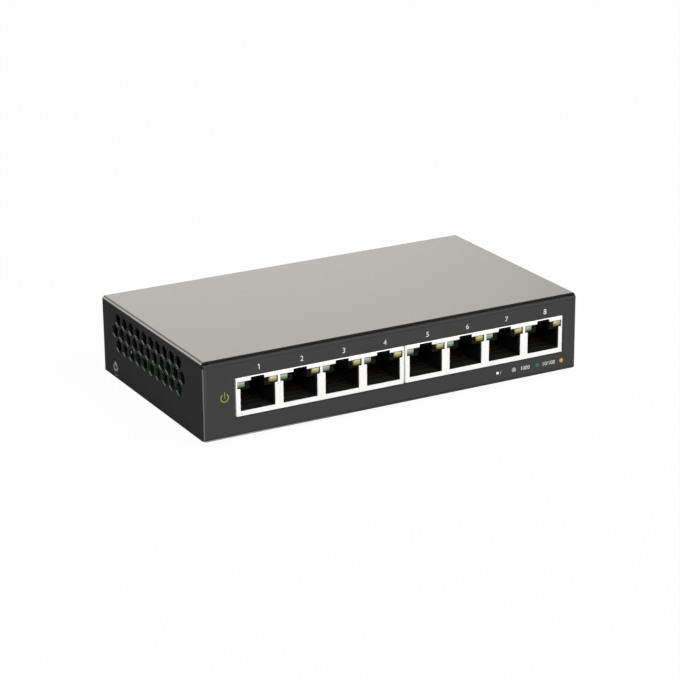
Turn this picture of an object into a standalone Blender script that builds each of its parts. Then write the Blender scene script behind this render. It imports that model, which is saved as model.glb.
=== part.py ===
"""Eight-port desktop network switch in a folded steel case, modelled piece by piece.

Metres, +Z up. X runs along the width, the ports face -Y and the rubber feet stand on z = 0.
"""

import math

import bmesh
import bpy
from mathutils import Matrix

# Fits between pieces
SLIP = 0.0003  # between the cover and the tray that it slides over
SEAT = 0.0003  # under a piece that rests on another
PLAY = 0.0003  # round a piece that stands in a hole
JACK_FIT = 0.0002  # between a jack's housing and its shield

# Folded steel case
CASE_DEPTH = 0.081
LEFT_MARGIN = 0.0115  # case side to the jacks
RIGHT_MARGIN = 0.00608
HEADROOM = 0.00725  # top of the jacks to the top of the case
SHEET = 0.0008
TRAY_BEND = 0.0002  # inner radius of the tray's folds
COVER_BEND = 0.0004  # inner radius of the cover's folds
PANEL_INSET = 0.0002  # front panel's edge behind the cover's side
FRONT_FLANGE = 0.008
REAR_FLANGE = 0.005
SIDE_FLANGE = 0.0075  # height of the tray's side walls
RELIEF = 0.0008  # slot between two folds
BEND_STEPS = 4

# Honeycomb vents in the cover's sides
VENT_PITCH = 0.00545
VENT_WEB = 0.00105
VENT_SETBACK = 0.0435  # front panel to the middle of the vents
VENT_DROP = 0.0101  # top of the case to the middle row
VENT_COUNTS = (10, 11, 10)

# Four-port jack blocks
BANK_COUNT = 2
PORTS_PER_BANK = 4
PORT_PITCH = 0.01577
BANK_WALL = 0.000235  # block's end past its last port's half pitch
BANK_GAP = 0.0003
JACK_DEPTH = 0.0215
JACK_PROUD = 0.0004  # shield's face in front of the panel
SHIELD = 0.0003
SHIELD_EDGE = 0.0003  # rounding of the shield's folds
PORT_WIDTH = 0.0124
PORT_SILL = 0.0016  # shield's foot to the port's floor
PORT_HEIGHT = 0.0078
LIGHT_HEIGHT = 0.00235
LIGHT_WIDTH = 0.0031
LIGHT_DIVIDER = 0.00117  # shield left between two ports' light windows
LIGHT_LENGTH = 0.0045
LIGHT_EDGE = 0.00025  # rounding of a light window's face
LATCH_WIDTH = 0.0050
LATCH_RISE = 0.0009
SHIELD_BROW = 0.0005  # shield left above the latch notch
PORT_LIP = 0.00025  # housing's edge inside the shield's window
CAVITY_DEPTH = 0.013
CAVITY_ROOF = 0.00045  # plastic left under a light window

# Spring contacts, eight in a port
WIRE_COUNT = 8
WIRE_PITCH = 0.001016
WIRE_WIDTH = 0.00046
WIRE_THICK = 0.0003
WIRE_RUN = 0.0052
WIRE_RISE = 0.0019
COMB_SETBACK = 0.0045  # port's mouth to the comb bar
COMB_DEPTH = 0.0014
COMB_HEIGHT = 0.0006

# Circuit board and what stands on it
BOARD = 0.0016
BOARD_MARGIN = 0.0006
STANDOFF = 0.0041
STANDOFF_RADIUS = 0.003
BOARD_SCREW_INSET = 0.005
BOARD_SCREW_SETBACK = 0.004  # behind the jacks
TRANSFORMER = (0.026, 0.0095, 0.0055)
TRANSFORMER_PITCH = 0.0295
TRANSFORMER_COUNT = 4
TRANSFORMER_SETBACK = 0.0035
LEADS_PER_SIDE = 8
LEAD_REACH = 0.0013
LEAD_WIDTH = 0.0008
LEAD_THICK = 0.00035
LEAD_HEIGHT = 0.0014
CHIP = (0.014, 0.014, 0.0011)
CHIP_SETBACK = 0.0065
CHIP_OFFSET = -0.010
CHIP_EDGE = 0.0002
SINK_SIZE = 0.022
SINK_BASE = 0.002
SINK_FIN = 0.001
SINK_FIN_HEIGHT = 0.0065
SINK_FIN_COUNT = 7
FLASH = (0.0052, 0.0040, 0.0015)
FLASH_OFFSET = -0.034
CRYSTAL = (0.0112, 0.0047, 0.0036)
CRYSTAL_OFFSET = 0.014
INDUCTOR = (0.0073, 0.0073, 0.0042)
INDUCTOR_OFFSET = 0.030
INDUCTOR_CORNER = 0.0018
CAPACITOR_RADIUS = 0.004
CAPACITOR_HEIGHT = 0.0115
CAPACITOR_PITCH = 0.0095
CAPACITOR_OFFSET = 0.044

# Power inlet, reset switch and lock slot at the back
INLET = (0.009, 0.0125, 0.0108)
INLET_INSET = 0.0275  # case side to the inlet's middle
INLET_PROUD = 0.0004
INLET_NOSE = 0.0042
INLET_BORE = 0.00315
INLET_BORE_DEPTH = 0.0095
INLET_PIN = 0.00105
RESET_BODY = (0.0062, 0.0036, 0.0048)
RESET_INSET = 0.047
RESET_RADIUS = 0.0011
RESET_REACH = 0.0016  # plunger in front of its body
RESET_SINK = 0.0012  # plunger inside its body
RESET_TRAVEL = 0.00025
RESET_SETBACK = 0.0015  # plunger's tip inside the rear panel
RESET_HOLE = 0.0012
LOCK_SLOT = (0.007, 0.003)
LOCK_CORNER = 0.0008
LOCK_INSET = 0.0645

# Floor: feet and wall-hanging keyholes
FOOT_RADIUS = 0.0042
FOOT_HEIGHT = 0.0015
FOOT_EDGE = 0.0005
FOOT_INSET = 0.014
KEYHOLE_SPACING = 0.072
KEYHOLE_HEAD = 0.0037
KEYHOLE_NECK = 0.0019
KEYHOLE_LENGTH = 0.0065
KEYHOLE_SETBACK = 0.046

# Screws
SCREW_SHANK = 0.00125
COVER_SCREW_HEAD = 0.00265  # countersunk, with its face flush in the cover
COVER_SCREW_LENGTH = 0.0042
COVER_SCREW_INSET = 0.0096  # rear edge to the screw
COVER_SCREW_LIFT = 0.0038  # case floor to the screw
BOARD_SCREW_HEAD = 0.0027
BOARD_SCREW_DOME = 0.0016
CROSS_ARM = 0.0005
CROSS_SPAN = 0.0030
CROSS_DEPTH = 0.0006
ROUND_STEPS = 20

# Heights, from the feet up
CASE_FLOOR = FOOT_HEIGHT + SEAT
TRAY_FLOOR = CASE_FLOOR + SHEET
BOARD_BASE = TRAY_FLOOR + STANDOFF + SEAT
BOARD_TOP = BOARD_BASE + BOARD
PART_BASE = BOARD_TOP + SEAT
LIGHT_SILL = PORT_SILL + PORT_HEIGHT
LIGHT_HEAD = LIGHT_SILL + LIGHT_HEIGHT
LATCH_HEAD = LIGHT_HEAD + LATCH_RISE
JACK_HEIGHT = LATCH_HEAD + SHIELD_BROW
CASE_TOP = PART_BASE + JACK_HEIGHT + HEADROOM
TRAY_TOP = CASE_TOP - SHEET - SLIP

# Widths, from the middle
BANK_WIDTH = PORTS_PER_BANK * PORT_PITCH + 2 * BANK_WALL
BANKS_WIDTH = BANK_COUNT * BANK_WIDTH + (BANK_COUNT - 1) * BANK_GAP
CASE_HALF = (LEFT_MARGIN + BANKS_WIDTH + RIGHT_MARGIN) / 2
PANEL_HALF = CASE_HALF - PANEL_INSET
TRAY_HALF = CASE_HALF - SHEET - SLIP
BOARD_HALF = TRAY_HALF - SHEET - BOARD_MARGIN
BANKS_LEFT = LEFT_MARGIN - CASE_HALF
LIGHT_REACH = (PORT_PITCH - LIGHT_DIVIDER) / 2
VENT_FLAT = VENT_PITCH - VENT_WEB

# Depths, from the front panel back
FRONT = -CASE_DEPTH / 2
REAR = CASE_DEPTH / 2
TRAY_RADIUS = SHEET + TRAY_BEND
RIM_DEPTH = TRAY_RADIUS + SLIP / 3
COVER_FRONT = FRONT + RIM_DEPTH + SLIP
JACK_FRONT = FRONT - JACK_PROUD
JACK_REAR = JACK_FRONT + JACK_DEPTH
BOARD_FRONT = FRONT + SHEET + BOARD_MARGIN
BOARD_REAR = REAR - SHEET - BOARD_MARGIN
TRANSFORMER_Y = JACK_REAR + TRANSFORMER_SETBACK + TRANSFORMER[1] / 2
CHIP_Y = TRANSFORMER_Y + TRANSFORMER[1] / 2 + CHIP_SETBACK + CHIP[1] / 2
INLET_FACE = REAR + INLET_PROUD
INLET_SHOULDER = REAR - SHEET - PLAY
RESET_TIP = REAR - SHEET - RESET_SETBACK
RESET_FACE = RESET_TIP - RESET_REACH

MATERIALS = {
    "painted_steel": ((0.045, 0.045, 0.047), 0.42, 0.0),
    "plated_steel": ((0.78, 0.77, 0.74), 0.28, 1.0),
    "black_plastic": ((0.012, 0.012, 0.013), 0.45, 0.0),
    "gold_plate": ((0.83, 0.62, 0.26), 0.25, 1.0),
    "green_lens": ((0.33, 0.55, 0.38), 0.30, 0.0),
    "amber_lens": ((0.66, 0.56, 0.20), 0.30, 0.0),
    "green_board": ((0.02, 0.14, 0.06), 0.45, 0.0),
    "chip_epoxy": ((0.03, 0.03, 0.03), 0.55, 0.0),
    "aluminium": ((0.72, 0.73, 0.74), 0.35, 1.0),
    "ferrite": ((0.08, 0.08, 0.085), 0.65, 0.0),
    "capacitor_sleeve": ((0.03, 0.05, 0.10), 0.40, 0.0),
    "screw_steel": ((0.10, 0.10, 0.105), 0.35, 1.0),
    "rubber": ((0.02, 0.02, 0.02), 0.85, 0.0),
}


def clear_scene():
    for old in list(bpy.data.objects):
        bpy.data.objects.remove(old, do_unlink=True)


def make_material(name):
    colour, roughness, metallic = MATERIALS[name]
    material = bpy.data.materials.new(name)
    material.use_nodes = True
    shader = material.node_tree.nodes["Principled BSDF"]
    shader.inputs["Base Color"].default_value = (*colour, 1.0)
    shader.inputs["Roughness"].default_value = roughness
    shader.inputs["Metallic"].default_value = metallic
    material.diffuse_color = (*colour, 1.0)
    return material


def material_named(name):
    return bpy.data.materials.get(name) or make_material(name)


def make_mesh(name, form):
    """Mesh of a finished form, faces out and round stretches shaded smooth."""
    bmesh.ops.recalc_face_normals(form, faces=form.faces)
    mesh = bpy.data.meshes.new(name)
    form.to_mesh(mesh)
    form.free()
    return smoothed(mesh)


def smoothed(mesh):
    mesh.shade_smooth()
    mesh.set_sharp_from_angle(angle=math.radians(30))
    return mesh


def place(name, mesh, material, location=(0, 0, 0), parent=None):
    """Adds a named piece to the scene."""
    if not mesh.materials:
        mesh.materials.append(material_named(material))
    piece = bpy.data.objects.new(name, mesh)
    piece.location = location
    piece.parent = parent
    bpy.context.collection.objects.link(piece)
    return piece


def helper(name, form):
    """A cutter or an added form that only shapes another piece."""
    tool = bpy.data.objects.new(name, make_mesh(name, form))
    tool.hide_render = True
    tool.display_type = "WIRE"
    bpy.context.collection.objects.link(tool)
    return tool


def combine(piece, operation, tool):
    """Joins or cuts a piece; its new edges are flat, so the piece is shaded flat until it is settled."""
    piece.data.shade_flat()
    modifier = piece.modifiers.new(tool.name, "BOOLEAN")
    modifier.operation = operation
    modifier.solver = "EXACT"
    modifier.object = tool


def cut(piece, name, form):
    combine(piece, "DIFFERENCE", helper(name, form))


def add(piece, name, form):
    combine(piece, "UNION", helper(name, form))


def settle(piece):
    """Mesh of a piece with its modifiers applied, for copies that share it."""
    graph = bpy.context.evaluated_depsgraph_get()
    mesh = bpy.data.meshes.new_from_object(piece.evaluated_get(graph))
    tools = [modifier.object for modifier in piece.modifiers]
    for spent in [piece, *tools]:
        bpy.data.objects.remove(spent, do_unlink=True)
    return smoothed(mesh)


def prism(form, outline, axis, start, stop):
    """Extrudes an outline along X, Y or Z (0, 1, 2); its points are in the two other axes, in order."""
    ends = []
    for level in (start, stop):
        corners = []
        for a, b in outline:
            point = [a, b]
            point.insert(axis, level)
            corners.append(form.verts.new(point))
        ends.append(corners)
        form.faces.new(corners)
    lower, upper = ends
    for index in range(len(outline)):
        after = (index + 1) % len(outline)
        form.faces.new((lower[index], lower[after], upper[after], upper[index]))
    return form


def box(form, low, high):
    outline = ((low[0], low[1]), (high[0], low[1]), (high[0], high[1]), (low[0], high[1]))
    return prism(form, outline, 2, low[2], high[2])


def block(size, form=None):
    """Box standing on z = 0 round the origin."""
    half_x, half_y = size[0] / 2, size[1] / 2
    return box(form or bmesh.new(), (-half_x, -half_y, 0), (half_x, half_y, size[2]))


def arc(centre, radius, start, stop, steps):
    """Points on an arc between two angles in degrees."""
    points = []
    for step in range(steps + 1):
        angle = math.radians(start + (stop - start) * step / steps)
        points.append((centre[0] + radius * math.cos(angle), centre[1] + radius * math.sin(angle)))
    return points


def circle(centre, radius, steps=ROUND_STEPS):
    return arc(centre, radius, 0, 360, steps)[:-1]


def rounded_outline(centre, width, height, radius, steps=3):
    points = []
    for turn, (sign_x, sign_y) in enumerate(((1, 1), (-1, 1), (-1, -1), (1, -1))):
        corner_x = centre[0] + sign_x * (width / 2 - radius)
        corner_y = centre[1] + sign_y * (height / 2 - radius)
        points += arc((corner_x, corner_y), radius, 90 * turn, 90 * turn + 90, steps)
    return points


def round_edges(form, radius, wanted, steps=BEND_STEPS):
    """Rounds the edges whose middle passes the test."""
    edges = [edge for edge in form.edges if wanted((edge.verts[0].co + edge.verts[1].co) / 2)]
    bmesh.ops.bevel(form, geom=edges, offset=radius, segments=steps, profile=0.5, affect="EDGES")


def turned(profile, steps=ROUND_STEPS):
    """Solid of revolution about Z from (radius, height) points that start and end on the axis."""
    form = bmesh.new()
    verts = [form.verts.new((radius, 0, height)) for radius, height in profile]
    edges = [form.edges.new(pair) for pair in zip(verts, verts[1:])]
    bmesh.ops.spin(form, geom=verts + edges, cent=(0, 0, 0), axis=(0, 0, 1), angle=math.tau, steps=steps)
    bmesh.ops.remove_doubles(form, verts=form.verts, dist=0.000001)
    return form


def cross_outline():
    arm, reach = CROSS_ARM / 2, CROSS_SPAN / 2
    quarter = ((reach, -arm), (reach, arm), (arm, arm))
    points = []
    for turn in range(4):
        for x, y in quarter:
            for _ in range(turn):
                x, y = -y, x
            points.append((x, y))
    return points


def make_cover(frame):
    """U-shaped top cover with rounded folds, honeycomb vents and a screw hole in each side."""
    outer, inner = SHEET + COVER_BEND, COVER_BEND
    side = CASE_HALF - outer
    crown = CASE_TOP - outer
    outline = [(-CASE_HALF, CASE_FLOOR)]
    outline += arc((-side, crown), outer, 180, 90, BEND_STEPS)
    outline += arc((side, crown), outer, 90, 0, BEND_STEPS)
    outline += [(CASE_HALF, CASE_FLOOR), (CASE_HALF - SHEET, CASE_FLOOR)]
    outline += arc((side, crown), inner, 0, 90, BEND_STEPS)
    outline += arc((-side, crown), inner, 90, 180, BEND_STEPS)
    outline += [(SHEET - CASE_HALF, CASE_FLOOR)]
    cover = place("top_cover", make_mesh("top_cover", prism(bmesh.new(), outline, 1, COVER_FRONT, REAR)),
                  "painted_steel", parent=frame)

    reach = CASE_HALF + SHEET
    vents = bmesh.new()
    row_pitch = VENT_PITCH * math.sqrt(3) / 2
    for row, count in enumerate(VENT_COUNTS):
        height = CASE_TOP - VENT_DROP + row_pitch * ((len(VENT_COUNTS) - 1) / 2 - row)
        for index in range(count):
            y = FRONT + VENT_SETBACK + VENT_PITCH * (index - (count - 1) / 2)
            hexagon = arc((y, height), VENT_FLAT / math.sqrt(3), 30, 390, 6)[:-1]
            prism(vents, hexagon, 0, -reach, reach)
    cut(cover, "vent_cutter", vents)
    for side, label in ((-1, "left"), (1, "right")):
        cut(cover, f"countersink_cutter_{label}", countersink(side))


def cover_screw_place(side):
    """Turn and shift that bring a screw along Z to its place in the cover's side, face outwards."""
    spot = (side * CASE_HALF, REAR - COVER_SCREW_INSET, CASE_FLOOR + COVER_SCREW_LIFT)
    return Matrix.Translation(spot) @ Matrix.Rotation(side * math.radians(90), 4, "Y")


def countersink(side):
    """Cone through the cover's side, with play all round the screw's head."""
    mouth = COVER_SCREW_HEAD + PLAY * math.sqrt(2)
    depth = SHEET + SLIP
    cone = turned([(0, -depth), (mouth - depth, -depth), (mouth + SLIP, SLIP), (0, SLIP)])
    cone.transform(cover_screw_place(side))
    return cone


def keyhole_outline(centre):
    """Round head hole with a narrower neck towards +Y."""
    neck_angle = math.degrees(math.asin(KEYHOLE_NECK / KEYHOLE_HEAD))
    outline = arc(centre, KEYHOLE_HEAD, 90 + neck_angle, 450 - neck_angle, 14)
    return outline + arc((centre[0], centre[1] + KEYHOLE_LENGTH), KEYHOLE_NECK, 0, 180, 6)


def end_folds():
    """Where the slots beside the front and rear panels' flanges start and stop."""
    return (
        (FRONT + RIM_DEPTH + SLIP, FRONT + FRONT_FLANGE + RELIEF / 4),
        (REAR - REAR_FLANGE - RELIEF / 4, REAR - TRAY_RADIUS - SLIP),
    )


def fold_slots():
    """Gaps under and over each panel flange, where it passes the floor's fold and the top's fold."""
    slots = bmesh.new()
    for side in (-1, 1):
        for start, stop in end_folds():
            near = side * (TRAY_HALF - TRAY_RADIUS - RELIEF / 2)
            nearer = side * (TRAY_HALF - TRAY_RADIUS - RELIEF)
            far = side * (TRAY_HALF + SHEET)
            low, high = sorted((near, far))
            box(slots, (low, start, CASE_FLOOR - SHEET), (high, stop, TRAY_FLOOR + RELIEF))
            low, high = sorted((nearer, far))
            box(slots, (low, start, TRAY_TOP - TRAY_RADIUS - RELIEF), (high, stop, TRAY_TOP + SHEET))
    return slots


def wall_slots():
    """Upright gaps between the panel flanges and the low side walls."""
    slots = bmesh.new()
    front, rear = end_folds()
    for side in (-1, 1):
        low, high = sorted((side * (TRAY_HALF - TRAY_RADIUS - RELIEF / 2), side * (TRAY_HALF + SHEET)))
        for middle in (front[1], rear[0]):
            box(slots, (low, middle - RELIEF / 2, CASE_FLOOR - SHEET),
                (high, middle + RELIEF / 2, CASE_FLOOR + SIDE_FLANGE + SHEET))
    return slots


def standoff_places():
    rows = (JACK_REAR + BOARD_SCREW_SETBACK, BOARD_REAR - BOARD_SCREW_INSET)
    reach = BOARD_HALF - BOARD_SCREW_INSET
    return [(side * reach, y) for y in rows for side in (-1, 1)]


def folded_edge(middle):
    """True for the tray's edges round the rear panel and along the floor's two sides."""
    return middle.y > 0.9 * REAR or (middle.z < TRAY_FLOOR and abs(middle.x) > 0.9 * TRAY_HALF)


def make_chassis(frame):
    """Tray folded from one sheet: floor, front panel, rear panel and the flanges under the cover."""
    tray_front = (FRONT + TRAY_RADIUS + FRONT + RIM_DEPTH) / 2
    tray = box(bmesh.new(), (-TRAY_HALF, tray_front, CASE_FLOOR), (TRAY_HALF, REAR, TRAY_TOP))
    round_edges(tray, TRAY_RADIUS, folded_edge)
    chassis = place("chassis", make_mesh("chassis", tray), "painted_steel", parent=frame)

    panel = box(bmesh.new(), (-PANEL_HALF, FRONT, CASE_FLOOR), (PANEL_HALF, FRONT + RIM_DEPTH, TRAY_TOP))
    round_edges(panel, TRAY_RADIUS, lambda co: co.y < FRONT + RIM_DEPTH / 4)
    add(chassis, "front_panel_form", panel)

    inside = box(bmesh.new(), (SHEET - TRAY_HALF, FRONT + SHEET, TRAY_FLOOR),
                 (TRAY_HALF - SHEET, REAR - SHEET, TRAY_TOP - SHEET))
    cut(chassis, "inside_cutter", inside)

    middle = box(bmesh.new(), (-CASE_HALF, FRONT + FRONT_FLANGE, CASE_FLOOR + SIDE_FLANGE),
                 (CASE_HALF, REAR - REAR_FLANGE, TRAY_TOP + SHEET))
    cut(chassis, "middle_cutter", middle)
    cut(chassis, "fold_slot_cutter", fold_slots())
    cut(chassis, "wall_slot_cutter", wall_slots())

    bosses = bmesh.new()
    sockets = bmesh.new()
    for spot in standoff_places():
        prism(bosses, circle(spot, STANDOFF_RADIUS, 16), 2, CASE_FLOOR + SHEET / 2, TRAY_FLOOR + STANDOFF)
        prism(sockets, circle(spot, SCREW_SHANK + PLAY, 12), 2, TRAY_FLOOR, BOARD_BASE)
    add(chassis, "standoff_form", bosses)
    cut(chassis, "standoff_socket_cutter", sockets)

    openings = bmesh.new()
    box(openings, (BANKS_LEFT - PLAY, FRONT - SHEET, PART_BASE - PLAY),
        (BANKS_LEFT + BANKS_WIDTH + PLAY, FRONT + 2 * SHEET, PART_BASE + JACK_HEIGHT + PLAY))
    rear_ends = (REAR - 2 * SHEET, REAR + SHEET)
    inlet_x, inlet_z = inlet_axis()
    prism(openings, circle((inlet_x, inlet_z), INLET_NOSE + PLAY), 1, *rear_ends)
    prism(openings, circle(reset_axis(), RESET_HOLE, 12), 1, *rear_ends)
    lock = rounded_outline((CASE_HALF - LOCK_INSET, inlet_z), *LOCK_SLOT, LOCK_CORNER)
    prism(openings, lock, 1, *rear_ends)
    for side in (-1, 1):
        centre = (side * KEYHOLE_SPACING / 2, FRONT + KEYHOLE_SETBACK)
        prism(openings, keyhole_outline(centre), 2, CASE_FLOOR - SHEET, TRAY_FLOOR + SHEET)
    cut(chassis, "opening_cutter", openings)
    hole = circle((REAR - COVER_SCREW_INSET, CASE_FLOOR + COVER_SCREW_LIFT), SCREW_SHANK + PLAY, 12)
    cut(chassis, "chassis_screw_cutter", prism(bmesh.new(), hole, 0, -CASE_HALF, CASE_HALF))


def inlet_axis():
    return CASE_HALF - INLET_INSET, PART_BASE + INLET[2] / 2


def reset_axis():
    return CASE_HALF - RESET_INSET, PART_BASE + RESET_BODY[2] / 2


def port_window(width, sill, light_reach, light_sill, light_head, latch_width, latch_head):
    """Outline of a port with its two light windows and the notch for the plug's latch."""
    half, latch = width / 2, latch_width / 2
    right = [(half, sill), (half, light_sill), (light_reach, light_sill), (light_reach, light_head),
             (latch, light_head), (latch, latch_head)]
    return right + [(-x, z) for x, z in reversed(right)]


def port_places():
    """Middle of each port along a bank, from the bank's middle."""
    return [PORT_PITCH * (index - (PORTS_PER_BANK - 1) / 2) for index in range(PORTS_PER_BANK)]


def shifted(outline, offset):
    return [(x + offset, z) for x, z in outline]


def make_shield_mesh():
    """Plated steel can over a jack block, open underneath, with a window for each port."""
    half = BANK_WIDTH / 2
    form = box(bmesh.new(), (-half, 0, 0), (half, JACK_DEPTH, JACK_HEIGHT))
    round_edges(form, SHIELD_EDGE, lambda co: co.y < JACK_DEPTH / 4 and co.z > JACK_HEIGHT / 4, 2)
    shield = place("jack_shield", make_mesh("jack_shield", form), "plated_steel")
    inside = box(bmesh.new(), (SHIELD - half, SHIELD, -SHIELD),
                 (half - SHIELD, JACK_DEPTH - SHIELD, JACK_HEIGHT - SHIELD))
    cut(shield, "shield_inside_cutter", inside)
    windows = bmesh.new()
    outline = port_window(PORT_WIDTH, PORT_SILL, LIGHT_REACH, LIGHT_SILL, LIGHT_HEAD, LATCH_WIDTH, LATCH_HEAD)
    for offset in port_places():
        prism(windows, shifted(outline, offset), 1, -SHIELD, 2 * SHIELD)
    cut(shield, "port_window_cutter", windows)
    return settle(shield)


def make_housing_mesh():
    """Moulded black block inside a shield: port cavities, latch channels and light pockets."""
    inset = SHIELD + JACK_FIT
    half = BANK_WIDTH / 2 - inset
    form = box(bmesh.new(), (-half, inset, 0), (half, JACK_DEPTH - inset, JACK_HEIGHT - inset))
    housing = place("jack_housing", make_mesh("jack_housing", form), "black_plastic")
    cavity_half = PORT_WIDTH / 2 - PORT_LIP
    cavity_roof = LIGHT_SILL - CAVITY_ROOF
    channel = LATCH_WIDTH / 2 + PORT_LIP
    outline = [(cavity_half, PORT_SILL + PORT_LIP), (cavity_half, cavity_roof), (channel, cavity_roof),
               (channel, LATCH_HEAD - 2 * PORT_LIP)]
    outline += [(-x, z) for x, z in reversed(outline)]
    cavities = bmesh.new()
    pockets = bmesh.new()
    for offset in port_places():
        prism(cavities, shifted(outline, offset), 1, 0, inset + CAVITY_DEPTH)
        for side in (-1, 1):
            ends = sorted((offset + side * (LIGHT_REACH - LIGHT_WIDTH), offset + side * LIGHT_REACH))
            box(pockets, (ends[0], 0, LIGHT_SILL), (ends[1], inset + LIGHT_LENGTH + PLAY, LIGHT_HEAD))
    cut(housing, "cavity_cutter", cavities)
    cut(housing, "light_pocket_cutter", pockets)
    return settle(housing)


def make_comb_mesh():
    """Eight spring wires rising from a bar on the port's floor; the origin is the bar's lower front edge."""
    width = WIRE_COUNT * WIRE_PITCH
    form = box(bmesh.new(), (-width / 2, 0, 0), (width / 2, COMB_DEPTH, COMB_HEIGHT))
    comb = place("contact_comb", make_mesh("contact_comb", form), "gold_plate")
    start_y = COMB_DEPTH / 2
    start_z = COMB_HEIGHT - WIRE_THICK
    knee_y, knee_z = start_y + WIRE_RUN, start_z + WIRE_RISE
    tip_y = knee_y + COMB_DEPTH
    lower = [(start_y, start_z), (knee_y, knee_z), (tip_y, knee_z)]
    wire = lower + [(y, z + WIRE_THICK) for y, z in reversed(lower)]
    wires = bmesh.new()
    for index in range(WIRE_COUNT):
        middle = WIRE_PITCH * (index - (WIRE_COUNT - 1) / 2)
        prism(wires, wire, 0, middle - WIRE_WIDTH / 2, middle + WIRE_WIDTH / 2)
    add(comb, "contact_wires", wires)
    return settle(comb)


def make_light_mesh():
    """Clear light window: a bar with a rounded face, running back into the housing."""
    width, height = LIGHT_WIDTH - 2 * PLAY, LIGHT_HEIGHT - 2 * PLAY
    form = box(bmesh.new(), (-width / 2, 0, -height / 2), (width / 2, LIGHT_LENGTH, height / 2))
    round_edges(form, LIGHT_EDGE, lambda co: co.y < LIGHT_LENGTH / 4, 2)
    return make_mesh("port_light", form)


def make_jacks(frame):
    shield, housing, comb = make_shield_mesh(), make_housing_mesh(), make_comb_mesh()
    lights = {"green": make_light_mesh(), "amber": make_light_mesh()}
    light_z = PART_BASE + LIGHT_SILL + LIGHT_HEIGHT / 2
    light_y = JACK_FRONT + SHIELD
    comb_y = JACK_FRONT + SHIELD + JACK_FIT + COMB_SETBACK
    comb_z = PART_BASE + PORT_SILL + PORT_LIP + SEAT
    port = 0
    for bank, label in enumerate(("left", "right")):
        middle = BANKS_LEFT + BANK_WIDTH / 2 + bank * (BANK_WIDTH + BANK_GAP)
        spot = (middle, JACK_FRONT, PART_BASE)
        place(f"jack_shield_{label}", shield, "plated_steel", spot, frame)
        place(f"jack_housing_{label}", housing, "black_plastic", spot, frame)
        for offset in port_places():
            port += 1
            x = middle + offset
            place(f"port_contacts_{port}", comb, "gold_plate", (x, comb_y, comb_z), frame)
            reach = LIGHT_REACH - LIGHT_WIDTH / 2
            place(f"green_light_{port}", lights["green"], "green_lens", (x - reach, light_y, light_z), frame)
            place(f"amber_light_{port}", lights["amber"], "amber_lens", (x + reach, light_y, light_z), frame)


def make_board(frame):
    form = box(bmesh.new(), (-BOARD_HALF, BOARD_FRONT, BOARD_BASE), (BOARD_HALF, BOARD_REAR, BOARD_TOP))
    board = place("circuit_board", make_mesh("circuit_board", form), "green_board", parent=frame)
    holes = bmesh.new()
    for spot in standoff_places():
        prism(holes, circle(spot, SCREW_SHANK + PLAY, 12), 2, BOARD_BASE - BOARD, BOARD_TOP + BOARD)
    cut(board, "board_hole_cutter", holes)


def make_transformers(frame):
    """Isolating transformers behind the jacks, each a moulded block with two rows of bent leads."""
    length, depth, height = TRANSFORMER
    case = place("transformer", make_mesh("transformer", block(TRANSFORMER)), "chip_epoxy")
    wall = depth / 2
    lead = [(wall - LEAD_THICK, LEAD_HEIGHT), (wall + LEAD_THICK, LEAD_HEIGHT), (wall + LEAD_THICK, 0),
            (wall + LEAD_REACH, 0), (wall + LEAD_REACH, LEAD_THICK), (wall + 2 * LEAD_THICK, LEAD_THICK),
            (wall + 2 * LEAD_THICK, LEAD_HEIGHT + LEAD_THICK), (wall - LEAD_THICK, LEAD_HEIGHT + LEAD_THICK)]
    leads = bmesh.new()
    for index in range(LEADS_PER_SIDE):
        x = length * ((index + 0.5) / LEADS_PER_SIDE - 0.5)
        for side in (-1, 1):
            outline = [(side * y, z) for y, z in lead]
            prism(leads, outline, 0, x - LEAD_WIDTH / 2, x + LEAD_WIDTH / 2)
    add(case, "transformer_leads", leads)
    mesh = settle(case)
    for index in range(TRANSFORMER_COUNT):
        x = TRANSFORMER_PITCH * (index - (TRANSFORMER_COUNT - 1) / 2)
        place(f"transformer_{index + 1}", mesh, "chip_epoxy", (x, TRANSFORMER_Y, PART_BASE), frame)


def make_chip_and_sink(frame):
    chip = block(CHIP)
    round_edges(chip, CHIP_EDGE, lambda co: co.z > 0.9 * CHIP[2], 1)
    spot = (CHIP_OFFSET, CHIP_Y, PART_BASE)
    place("switch_chip", make_mesh("switch_chip", chip), "chip_epoxy", spot, frame)

    half = SINK_SIZE / 2
    pitch = (SINK_SIZE - SINK_FIN) / (SINK_FIN_COUNT - 1)
    outline = [(half, 0), (-half, 0)]
    for index in range(SINK_FIN_COUNT):
        left = -half + index * pitch
        tip = SINK_BASE + SINK_FIN_HEIGHT
        outline += [(left, SINK_BASE), (left, tip), (left + SINK_FIN, tip), (left + SINK_FIN, SINK_BASE)]
    outline = [point for index, point in enumerate(outline) if index not in (2, len(outline) - 1)]
    sink = prism(bmesh.new(), outline, 1, -half, half)
    spot = (CHIP_OFFSET, CHIP_Y, PART_BASE + CHIP[2] + SEAT)
    place("heatsink", make_mesh("heatsink", sink), "aluminium", spot, frame)


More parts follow.
